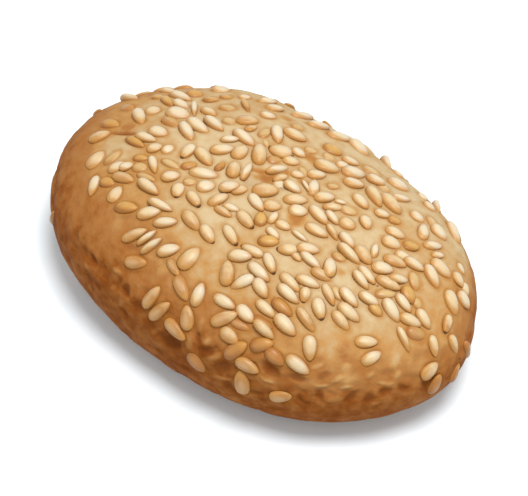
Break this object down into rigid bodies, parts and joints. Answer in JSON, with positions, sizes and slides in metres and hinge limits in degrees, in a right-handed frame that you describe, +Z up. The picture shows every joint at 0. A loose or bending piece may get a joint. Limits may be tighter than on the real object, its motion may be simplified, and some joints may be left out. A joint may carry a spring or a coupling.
{
  "type": "bagel",
  "caption": "Small oval sesame bagel with its hole baked shut: a domed golden crust on a flat underside, seeded over the top, with a bare wrinkled lower band.",
  "frame": {"origin": "middle of the flat underside, on the surface that the bagel rests on", "axes": "+Z up through the dome, +X along the bagel's long axis"},
  "size_m": [0.0752, 0.0496, 0.025],
  "materials": {
    "crust": "baked crust, golden on top and browner below, faint sheen",
    "seed": "toasted sesame, cream to gold, soft gloss"
  },
  "bodies": {
    "root": {"bagel": "crust"}
  },
  "joints": []
}
